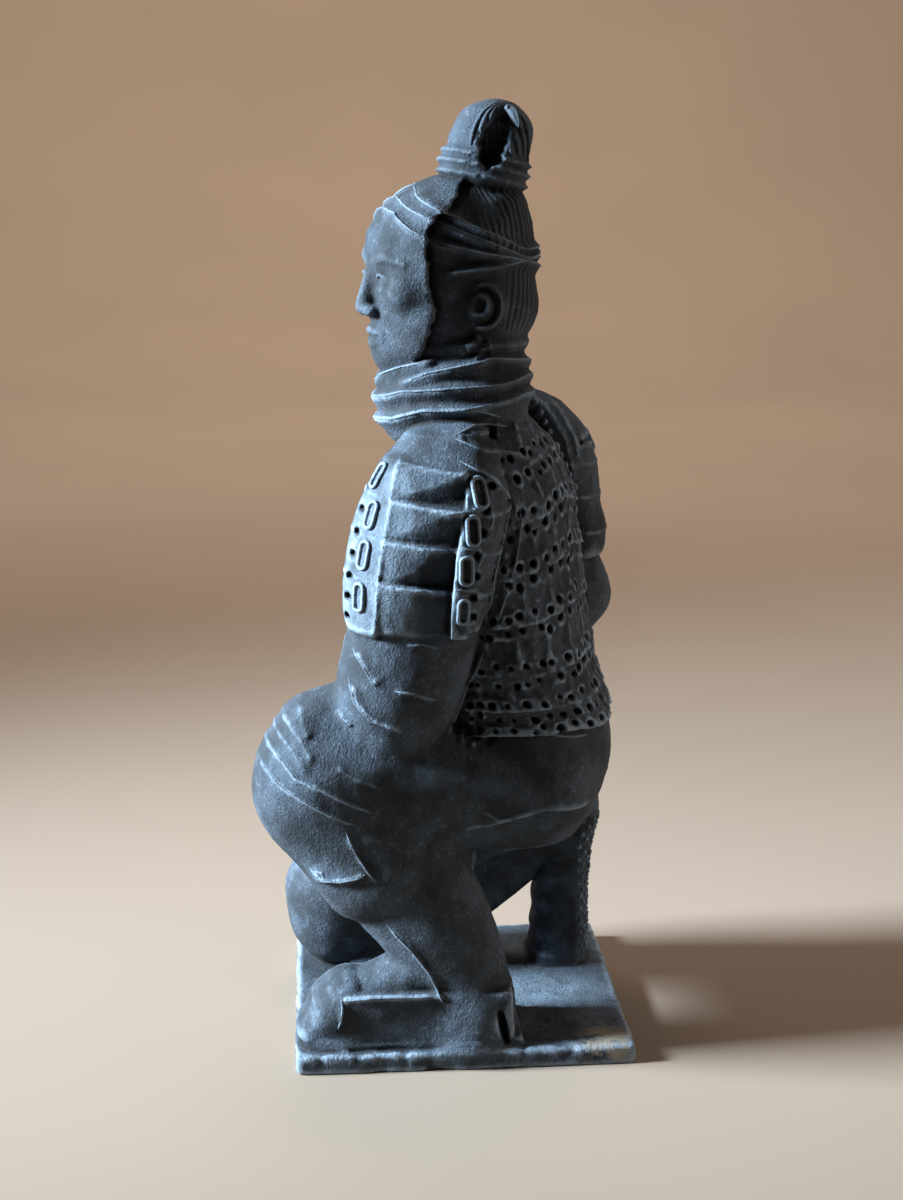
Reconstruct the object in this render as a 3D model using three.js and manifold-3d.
// A souvenir statuette of a kneeling archer in grey clay, cast in one piece with its plinth.
// Millimetres, +Z up. The origin is the centre of the plinth's underside. The figure faces -Y, and its left
// is +X.
// It kneels on the right knee, the left knee is raised, and the shoulders are turned to the figure's right.
import * as THREE from "three";
import { mergeVertices } from "three/addons/utils/BufferGeometryUtils.js";
import Module from "manifold-3d";

const wasm = await Module();
wasm.setup();

// Driving dimensions.
const PLINTH = { long: 54.4, wide: 48.3, thick: 3.2, bevel: 0.7 };
const TORSO_TURN = -24; // degrees about Z, shoulders against the plinth
const HEAD_TURN = 14; // degrees about Z, towards the figure's left
const PLATE_STEP = 0.9; // how far the top edge of an armour plate stands proud
const PLATE_GROOVE = 0.55; // depth of the joint between two plates in a row
const HAIR = 1; // how far the hair stands proud of the face
const HEM_DROP = 0.2; // how far the armour hem drops for each millimetre towards the back
const FOLD = 0.9; // height of a fold in the cloth
const DRAPE_LOW = 22; // how low the robe hangs between the legs
const SHOE = { x: 15.6, half: 6.5, wall: 9.2, heel: 9.2, toe: -26.4 }; // the wall is measured from the sole
const FIST = { finger: 2.5, gap: 0.35, half: 6 }; // the pitch of the fingers, the joint and the reach
const CLAY = { colour: 0x3d4247, roughness: 0.88 };

const ground = PLINTH.thick;
const rad = THREE.MathUtils.degToRad;
const lerp = THREE.MathUtils.lerp;
const vec = (x, y, z) => new THREE.Vector3(x, y, z);

// ---------------------------------------------------------------- skins

/** A closed skin over rings of points, with a fan over each end. */
function skin(rings) {
  const sides = rings[0].length;
  const points = rings.flat();
  const index = [];
  for (let r = 0; r + 1 < rings.length; r++)
    for (let s = 0; s < sides; s++) {
      const a = r * sides + s;
      const b = r * sides + ((s + 1) % sides);
      index.push(a, b, b + sides, a, b + sides, a + sides);
    }
  for (const [ring, first] of [[rings[0], true], [rings.at(-1), false]]) {
    const middle = ring.reduce((sum, p) => sum.add(p), vec(0, 0, 0)).divideScalar(sides);
    const start = first ? 0 : (rings.length - 1) * sides;
    points.push(middle);
    for (let s = 0; s < sides; s++) {
      const pair = [start + s, start + ((s + 1) % sides)];
      if (first) pair.reverse();
      index.push(...pair, points.length - 1);
    }
  }
  const geometry = new THREE.BufferGeometry().setFromPoints(points);
  geometry.setIndex(index);
  return geometry;
}

/** A geometry as a solid that faces outwards. */
function solid(geometry) {
  const bare = geometry.index ? geometry.toNonIndexed() : geometry.clone();
  for (const name of Object.keys(bare.attributes)) if (name !== "position") bare.deleteAttribute(name);
  const merged = mergeVertices(bare, 1e-3);
  const build = (triVerts) =>
    new wasm.Manifold(
      new wasm.Mesh({ numProp: 3, vertProperties: merged.attributes.position.array, triVerts }),
    );
  const triangles = new Uint32Array(merged.index.array);
  const made = build(triangles);
  return made.volume() > 0 ? made : build(triangles.reverse());
}

const join = (...solids) => solids.flat().reduce((sum, one) => sum.add(one));

/** Smooth values between stations: each row of the table is one station, and column 0 runs along it. */
function between(table, at) {
  const last = table.length - 1;
  let i = 0;
  while (i < last - 1 && at > table[i + 1][0]) i++;
  const t = (at - table[i][0]) / (table[i + 1][0] - table[i][0]);
  const before = table[Math.max(i - 1, 0)];
  const after = table[Math.min(i + 2, last)];
  return table[i].map((a, c) => {
    const b = table[i + 1][c];
    const m0 = (b - before[c]) / 2;
    const m1 = (after[c] - a) / 2;
    const t2 = t * t;
    const t3 = t2 * t;
    return (2 * t3 - 3 * t2 + 1) * a + (t3 - 2 * t2 + t) * m0 + (3 * t2 - 2 * t3) * b + (t3 - t2) * m1;
  });
}

/**
 * A level oval ring. half is [across, along]; power 2 is an ellipse and more is squarer; swell adds to the
 * radius.
 */
function oval([x, y, z], half, turn, sides, power = 2, swell = () => 0) {
  return Array.from({ length: sides }, (_, s) => {
    const angle = (s / sides) * Math.PI * 2;
    const c = Math.cos(angle);
    const n = Math.sin(angle);
    const grow = (Math.abs(c) ** power + Math.abs(n) ** power) ** (-1 / power);
    const out = swell(s, angle);
    return vec(c * (half[0] * grow + out), n * (half[1] * grow + out), 0)
      .applyAxisAngle(vec(0, 0, 1), rad(turn))
      .add(vec(x, y, z));
  });
}

/** A body of level ovals from stations [z, x, y, half across, half along, turn], at the given heights. */
function trunk(stations, heights, sides, power = 2, swell = () => () => 0) {
  return skin(
    heights.map((z, i) => {
      const [, x, y, across, along, turn] = between(stations, z);
      return oval([x, y, z], [across, along], turn, sides, power, swell(i, z));
    }),
  );
}

/** Heights from low to high in equal steps. */
const levels = (low, high, count) =>
  Array.from({ length: count + 1 }, (_, i) => lerp(low, high, i / count));

/**
 * A limb along stations [x, y, z, half across, half deep], with round ends. across is the direction that
 * the first half-width follows. swell(t, angle) adds to the radius.
 */
function limb(stations, { sides = 18, steps = 3, across = vec(1, 0, 0), power = 2, swell = () => 0 } = {}) {
  const path = new THREE.CatmullRomCurve3(stations.map(([x, y, z]) => vec(x, y, z)), false, "centripetal");
  const sizes = stations.map(([, , , a, b], i) => [i, a, b]);
  const spans = stations.length - 1;
  const count = spans * steps;
  const ring = (t, shrink, push) => {
    const [, a, b] = between(sizes, t * spans);
    const along = path.getTangent(t);
    const deep = along.clone().cross(across).normalize();
    const wide = deep.clone().cross(along).normalize();
    const centre = path.getPoint(t).addScaledVector(along, push * Math.min(a, b));
    return Array.from({ length: sides }, (_, s) => {
      const angle = (s / sides) * Math.PI * 2;
      const c = Math.cos(angle);
      const n = Math.sin(angle);
      const grow = (Math.abs(c) ** power + Math.abs(n) ** power) ** (-1 / power) * shrink;
      const out = swell(t, angle) * shrink;
      return centre
        .clone()
        .addScaledVector(wide, c * (a * grow + out))
        .addScaledVector(deep, n * (b * grow + out));
    });
  };
  const dome = [72, 40].map((d) => [Math.cos(rad(d)), Math.sin(rad(d))]);
  return skin([
    ...dome.map(([shrink, push]) => ring(0, shrink, -push)),
    ...Array.from({ length: count + 1 }, (_, i) => ring(i / count, 1, 0)),
    ...dome.reverse().map(([shrink, push]) => ring(1, shrink, push)),
  ]);
}

/** An ellipsoid at a place, turned about Z and then tilted about X, in degrees. */
function ball([x, y, z], [a, b, c], { turn = 0, tilt = 0, wide = 20, high = 12 } = {}) {
  const geometry = new THREE.SphereGeometry(1, wide, high).rotateX(Math.PI / 2).scale(a, b, c);
  return geometry.rotateX(rad(tilt)).rotateZ(rad(turn)).translate(x, y, z);
}

/** A round cord through points, closed on itself. */
function cord(points, radius, steps = 20, sides = 6) {
  const path = new THREE.CatmullRomCurve3(points.map((p) => vec(...p)), true, "centripetal");
  return new THREE.TubeGeometry(path, steps, radius, sides, true);
}

// ---------------------------------------------------------------- plinth and legs

/** The flat plinth, with a small bevel round its top. */
function plinth() {
  const { long, wide, thick, bevel } = PLINTH;
  const corners = [[1, 1], [-1, 1], [-1, -1], [1, -1]];
  const ring = (z, inset) =>
    corners.map(([x, y]) => vec(x * (wide / 2 - inset), y * (long / 2 - inset), z));
  return solid(skin([ring(0, 0), ring(thick - bevel, 0), ring(thick, bevel)]));
}

/** The square-toed left shoe: upright walls, a toe cap that stands proud, the instep and the sole. */
function leftShoe() {
  const { x, half, wall, heel, toe } = SHOE;
  const sole = ground - 0.4;
  const shoulder = 0.9; // where the wall turns over into the top, as a share of the height
  const profile = [[1, 0], [1, shoulder], [0.85, 1], [-0.85, 1], [-1, shoulder], [-1, 0]];
  const section = (y, width, top) =>
    profile.map(([across, up]) => vec(x + across * width, y, sole + up * top));
  const upper = skin([
    section(heel, half - 1.6, wall * 0.6),
    section(heel - 1.6, half - 0.3, wall),
    section(-17.4, half, wall),
    section(-18.2, half + 0.1, wall + 1),
    section(-21.5, half, wall - 0.8),
    section(toe + 1.8, half - 0.3, wall * 0.55),
    section(toe, half - 0.7, wall * 0.25),
  ]);
  const instep = limb(
    [[x, -17, 9.6, 5.5, 3.4], [x + 0.4, -5, 14, 5.4, 5.2]],
    { sides: 8, steps: 1 },
  );
  const middle = (heel + toe) / 2;
  const long = (heel - toe) / 2;
  const lip = trunk(
    [[sole, x, middle, half + 0.5, long, 0], [sole + 1.6, x, middle, half + 0.2, long - 0.4, 0]],
    [sole, sole + 1.1, sole + 1.6],
    12,
    6,
  );
  return join([upper, instep, lip].map(solid));
}

/** Ridges of cloth across a limb between two places on it, on the side that angle faces. */
const ridges = (from, to, waves, facing) => (t, angle) => {
  if (t <= from || t >= to) return 0;
  const side = Math.max(0, Math.cos(angle - facing)) ** 0.5;
  return FOLD * side * Math.sin(((t - from) / (to - from)) * waves * Math.PI) ** 2;
};

/** The raised left leg: the robe over the thigh and knee, the trouser leg, the calf, heel and shoe. */
function leftLeg() {
  const thigh = limb(
    [
      [7.5, 12, 43, 12, 10],
      [9.5, -2, 44.4, 11.6, 11.6],
      [11.4, -14, 45.4, 11, 12.4],
      [11.8, -22.2, 45, 10.6, 12.4],
    ],
    { sides: 14, steps: 4, swell: ridges(0.25, 1, 4, Math.PI / 2 + 0.4) },
  );
  const trouser = limb(
    [[11.8, -21.2, 44.4, 10.4, 11.8], [12.6, -16.6, 37.6, 10.2, 11.3], [13.4, -12.6, 31.6, 9.8, 10.9]],
    { sides: 14, steps: 1 },
  );
  const calf = limb(
    [
      [13.4, -10.6, 31, 8.6, 10.8],
      [15, -3.4, 19.7, 7.5, 8.9],
      [16, 2.5, 9.4, 5.9, 6.1],
      [16, 3.5, 6.2, 5.7, 5.3],
    ],
    { sides: 12, steps: 2 },
  );
  const lap = limb(
    [[12, -14, 57, 5, 5.4], [12, -23.4, 54.6, 4.6, 3.4]],
    { sides: 8, steps: 1 },
  );
  const heel = ball([18, 1, 5.4], [6.2, 5.7, 5.2], { wide: 12, high: 6 });
  return join(...[thigh, trouser, calf, lap, heel].map(solid), leftShoe());
}

/** The right leg: the thigh down on the shin, and the foot upright on its toes under the seat. */
function rightLeg() {
  const x = -12.3;
  const thigh = limb([[-9.5, 8, 35, 10.4, 10.5], [-11.3, -4, 28.4, 10.2, 10.6], [x, -19.4, 15.6, 9, 10]], {
    sides: 12,
    steps: 2,
  });
  const shin = limb(
    [
      [x, -19.8, 11.8, 8.4, 9],
      [x, -2, 15.2, 7.6, 8.2],
      [x, 11, 24, 6.6, 7.4],
      [x, 18, 28, 6.2, 6.4],
    ],
    { sides: 12, steps: 2 },
  );
  const foot = limb([[x, 20, 30.5, 6, 6], [x, 19.6, 21.5, 5.8, 4.7], [x, 19.2, 5, 6.6, 4.9]], {
    sides: 14,
    steps: 3,
    power: 3.2,
  });
  return join([thigh, shin, foot].map(solid));
}

// ---------------------------------------------------------------- robe and armour

/** Stations up the body: z, centre x and y, half across the shoulders, half front to back, turn. */
const BODY = [
  [33, -2.2, 8.4, 16.4, 13.4, -10],
  [36, -2.2, 9, 18.4, 14.6, -11],
  [40, -2.2, 9.4, 19.4, 15.7, -12],
  [45, -2.2, 9.6, 19.6, 16.6, -14],
  [52, -2, 9.2, 18.8, 15.8, -16],
  [60, -2, 7.8, 17.8, 14.4, -19],
  [70, -2, 6.8, 17.6, 13.4, -22],
  [80, -2, 6, 17.8, 12.8, TORSO_TURN],
  [90, -1.6, 5.2, 17, 12, TORSO_TURN],
  [97, -0.8, 3.6, 12.6, 10.8, TORSO_TURN],
  [102, 0, 1.4, 9, 9.4, -12],
];

/** The skirt of the robe, over the seat and both thighs, and hanging in folds between the legs. */
function robe() {
  const seat = trunk(BODY, [33, 36, 40, 45, 52], 28, 2.3);
  const overThigh = limb([[-5, 2, 41, 15, 11.5], [-9, -8, 34.5, 12.6, 11.4], [-11, -13, 29, 11.6, 10.8]], {
    sides: 16,
    steps: 2,
    swell: ridges(0.2, 1, 3, Math.PI / 2),
  });
  const hanging = trunk(
    [[DRAPE_LOW, 1, -4.4, 9.4, 6, 4], [40, 0, -3, 10, 7, 0]],
    [DRAPE_LOW, 30, 40],
    16,
    3,
    () => (s) => (s % 2 ? 0 : FOLD),
  );
  return join([seat, overThigh, hanging].map(solid));
}

/** The armour coat: rows of plates, each row's top edge standing proud of the row above, lower behind. */
function armourCoat() {
  const plates = 13;
  const points = 3; // ring points for one plate, the first of them in the joint
  const rows = [50, 55.6, 62.6, 70.6, 78.8, 86.4, 93];
  const tall = rows.at(-1) - rows[0];
  const heights = rows.slice(0, -1).flatMap((z, i) => [z, rows[i + 1] - 0.5]);
  const swell = (i) => (s) => (i % 2 ? PLATE_STEP + 0.5 : 0.5) - (s % points ? 0 : PLATE_GROOVE);
  const coat = trunk(BODY, heights, plates * points, 2.3, swell);
  const yoke = trunk(BODY, [88, 93, 97, 102], 20, 2.2);
  const places = coat.getAttribute("position");
  for (let i = 0; i < places.count; i++) {
    const behind = places.getY(i) - BODY[3][2];
    const share = 1 - (places.getZ(i) - rows[0]) / tall;
    places.setZ(i, places.getZ(i) - behind * HEM_DROP * share);
  }
  return join(solid(coat), solid(yoke));
}

/** One shoulder guard: a barrel of five rows of plates. side is +1 for the left. */
function shoulderGuard(side) {
  const left = [
    [71, 17, -7.6, 7, 10.2, -12],
    [76, 17.4, -7.2, 7.3, 11, -14],
    [83, 17, -6.2, 7.5, 11.4, -16],
    [90, 15.6, -4.6, 7.6, 11, -18],
    [96, 13.4, -3.4, 7.4, 9, -20],
    [100.4, 10.6, -2, 5.4, 6.4, -20],
    [102.4, 8.6, -1.2, 2.4, 3, -20],
  ];
  const right = [
    [74.5, -20.4, 17, 6.8, 10.4, -30],
    [79, -20.6, 16.8, 7.1, 10.9, -30],
    [85, -20, 15.6, 7.3, 10.8, -30],
    [91, -18.4, 15, 7.6, 10.4, -28],
    [97, -15.2, 13.4, 7.4, 9.6, -26],
    [102, -11.8, 10.6, 5.8, 7.8, -24],
    [104.8, -9.6, 8.8, 3, 4.4, -24],
  ];
  const table = side > 0 ? left : right;
  const [low, high] = [table[0][0], table.at(-1)[0]];
  const pitch = (high - low - 8) / 5;
  const heights = Array.from({ length: 5 }, (_, i) => low + i * pitch).flatMap((z, i) => [
    z,
    z + pitch - (i < 4 ? 0.4 : 0),
  ]);
  const swell = (i) => (s) => (i % 2 ? PLATE_STEP : 0) - (s % 4 ? 0 : PLATE_GROOVE);
  return solid(trunk(table, [...heights, high - 5, high - 2, high], 24, 2.6, swell));
}

// ---------------------------------------------------------------- arms

/** A closed hand: four curled fingers, one above the other. */
function hand([x, y, z], turn) {
  const { finger, gap, half } = FIST;
  const stations = [
    [z - half, x, y, 4, 3.6, turn],
    [z, x, y, 4.4, 4, turn],
    [z + half, x, y, 4, 3.4, turn],
  ];
  const heights = [-2, -1, 0, 1].flatMap((i) => {
    const foot = z + i * finger;
    return [foot + gap, foot + finger / 2, foot + finger - gap];
  });
  const swell = (i) => () => (i % 3 === 1 ? 0.3 : -0.4);
  return solid(trunk(stations, heights, 10, 2.4, swell));
}

/** The left arm: a wide sleeve from the shoulder to the lap, and the forearm across the body. */
function leftArm() {
  const sleeve = limb(
    [
      [15, -5.5, 84, 7.4, 9.6],
      [15.6, -7.2, 71, 7.8, 10],
      [14.8, -8.8, 62, 8.2, 9.6],
      [13.6, -10.2, 54.5, 7.6, 8.6],
    ],
    { sides: 14, steps: 4, swell: ridges(0.45, 1, 3, 0.6) },
  );
  const forearm = limb([[13, -9.6, 63, 7, 7.2], [3, -12, 63.5, 6, 6], [-9, -11.6, 64, 4.8, 4.9]], {
    sides: 12,
    steps: 2,
    across: vec(0, 0, 1),
  });
  return join(solid(sleeve), solid(forearm), hand([-13.5, -11.4, 63.4], 62));
}

/** The right arm: the elbow drawn back, and the forearm forward along the hip. */
function rightArm() {
  const upper = limb([[-17, 12, 92, 7.4, 7.6], [-20, 17.4, 77, 6.8, 7.4], [-21.2, 21.6, 66.4, 6.6, 7.6]], {
    sides: 12,
    steps: 2,
  });
  const forearm = limb([[-21.2, 20.6, 65, 6.4, 7.6], [-21, 8, 63.6, 6.2, 6.8], [-19.4, -3, 68, 5, 5.4]], {
    sides: 12,
    steps: 4,
    across: vec(0, 0, 1),
    swell: ridges(0.1, 0.9, 3, 0),
  });
  return join(solid(upper), solid(forearm), hand([-17.6, -6.8, 71.6], 20));
}

// ---------------------------------------------------------------- scarf and head

/** The neck scarf: rolls of cloth one above the other round the neck, lower in front than behind. */
function scarf() {
  const rolls = 3;
  const rise = 3.5;
  const low = 101;
  const feet = Array.from({ length: rolls }, (_, i) => low + i * rise);
  const heights = feet.flatMap((z) => [z, z + 0.9, z + 2.6]);
  const swell = (i) => () => (i % 3 ? 1.5 : -0.6);
  const stations = [
    [99, 0.4, 0, 10.4, 11.8, 0],
    [105, 0.4, -0.5, 10.8, 12.4, 0],
    [113, 0.4, 0, 9, 10.6, 0],
  ];
  const wound = trunk(stations, [...heights, low + rolls * rise], 20, 2, swell);
  const slope = new THREE.Matrix4().makeShear(0, 0, 0, 0.22, 0, 0);
  return solid(wound.applyMatrix4(slope));
}

/** Where the head is, and its size: the face is laid out on even thirds between hairline and chin. */
const HEAD = { x: 0.2, y: -0.6, chin: 109.2, crown: 138.6, wide: 10.8, deep: 13.6 };
const third = (HEAD.crown - 4 - HEAD.chin) / 3;
const noseBase = HEAD.chin + third;
const brow = noseBase + third;

/** The head, looking along -Y before it is turned. Behind the hairline the hair stands proud of it. */
function skull() {
  const { chin, crown, wide, deep } = HEAD;
  const stations = [
    [chin, 0, -2.2, 5, 9.2, 0],
    [chin + 3.4, 0, -1, 8.2, 11.2, 0],
    [noseBase, 0, 0, 10, 13, 0],
    [brow - 2, 0, -0.6, wide, 12.7, 0],
    [brow + 4, 0, -0.7, wide, deep - 1.1, 0],
    [crown - 3.6, 0, 1, wide * 0.81, deep * 0.76, 0],
    [crown, 0, 2.8, wide * 0.5, deep * 0.46, 0],
  ];
  const hairline = -0.42; // how far forward the hair comes beside the face, as a sine
  const heights = levels(chin, crown, 11);
  const swell = (i) => (s, angle) => (Math.sin(angle) > hairline || heights[i] > crown - 5 ? HAIR : 0);
  return trunk(stations, heights, 20, 2.15, swell);
}

/** The nose, brows, eyelids, lips and chin. */
function features() {
  const mirror = (make) => [make(-1), make(1)];
  const small = { wide: 8, high: 4 };
  return [
    ball([0, -8.9, HEAD.chin + 2.6], [3.8, 3, 2.8], small),
    limb(
      [
        [0, -12, brow - 0.6, 1.1, 1.2],
        [0, -13.3, noseBase + 2, 1.6, 1.5],
        [0, -13.6, noseBase + 1, 2.1, 1.5],
      ],
      { sides: 6, steps: 1 },
    ),
    ...mirror((side) => ball([side * 4.6, -11.6, brow], [3.6, 1.6, 0.8], { turn: side * 20, ...small })),
    ...mirror((side) =>
      ball([side * 4.2, -11.4, brow - 2.9], [2.5, 1.5, 1.15], { turn: side * 18, ...small }),
    ),
    ball([0, -11.6, noseBase - 2.4], [2.7, 1.3, 0.95], small),
    ball([0, -11.2, noseBase - 4.3], [2.3, 1.3, 0.95], small),
  ];
}

/** An ear and the hollow in it. side is +1 for the left. */
function ear(side) {
  const rim = ball([side * 11.2, 3.4, 119.6], [1.7, 2.8, 3.8], { wide: 8, high: 6 });
  const hollow = ball([side * 13, 2.9, 120], [1, 1.7, 2.4], { wide: 6, high: 4 });
  return { rim, hollow };
}

/** A plait that rings the head above the hairline and dips to the back. */
function plait(rise) {
  const points = Array.from({ length: 10 }, (_, i) => {
    const angle = (i / 10) * Math.PI * 2;
    const back = (1 + Math.sin(angle)) / 2;
    const z = 133.6 + rise - back * (8.4 + rise);
    const shrink = 1 - Math.max(0, z - 130) * 0.028;
    return [Math.cos(angle) * 11.9 * shrink, 0.8 + Math.sin(angle) * 13.8 * shrink, z];
  });
  return cord(points, 0.9, 14, 4);
}

/** The topknot with its two ties round the foot, leaning back. */
function topknot() {
  const knot = trunk(
    [
      [0, 0, 0, 6.4, 6.6, 0],
      [0.8, 0, 0, 7.4, 7.6, 0],
      [1.6, 0, 0, 6.2, 6.5, 0],
      [2.4, 0, 0, 7.2, 7.4, 0],
      [3.2, 0, 0, 5.8, 6.2, 0],
      [6, 0, 0, 5.8, 6.3, 0],
      [9.6, 0, 0.3, 4.9, 5.6, 0],
      [11.6, 0, 0.6, 3.4, 4, 0],
      [12.4, 0, 0.8, 1.6, 2, 0],
    ],
    [0, 0.8, 1.6, 2.4, 3.2, 6, 9.6, 11.6, 12.4],
    14,
  );
  return knot.rotateX(rad(-15)).translate(0.8, 4.4, 137.7);
}

/** The whole head, turned to the figure's left. */
function head() {
  const place = (geometry) => solid(geometry.rotateZ(rad(HEAD_TURN)).translate(HEAD.x, HEAD.y, 0));
  const ears = [ear(1), ear(-1)];
  const pieces = [skull(), ...features(), ...ears.map((e) => e.rim), plait(1), plait(-1.1), topknot()];
  const whole = join(pieces.map(place));
  return ears.reduce((sum, e) => sum.subtract(place(e.hollow)), whole);
}

// ---------------------------------------------------------------- the statuette

/** Everything below z = 0 or outside the plinth's own foot is cut away, so that it stands flat. */
function statuette() {
  const figure = join(
    leftLeg(),
    rightLeg(),
    robe(),
    armourCoat(),
    shoulderGuard(1),
    shoulderGuard(-1),
    leftArm(),
    rightArm(),
    scarf(),
    head(),
  );
  const below = solid(new THREE.BoxGeometry(200, 200, 50).translate(0, 0, -25 + ground / 2));
  return join(plinth(), figure.subtract(below));
}

/** A solid back as a three.js geometry. */
function geometryOf(made) {
  const mesh = made.getMesh();
  const positions = new Float32Array(mesh.numVert * 3);
  for (let i = 0; i < mesh.numVert; i++)
    positions.set(mesh.vertProperties.subarray(i * mesh.numProp, i * mesh.numProp + 3), i * 3);
  const geometry = new THREE.BufferGeometry();
  geometry.setAttribute("position", new THREE.BufferAttribute(positions, 3));
  geometry.setIndex(new THREE.BufferAttribute(mesh.triVerts, 1));
  return geometry;
}

const clay = new THREE.MeshStandardMaterial({ color: CLAY.colour, roughness: CLAY.roughness, metalness: 0 });
const warrior = new THREE.Mesh(geometryOf(statuette()), clay);
warrior.name = "warrior_statuette";

const group = new THREE.Group();
group.add(warrior);
export default group;
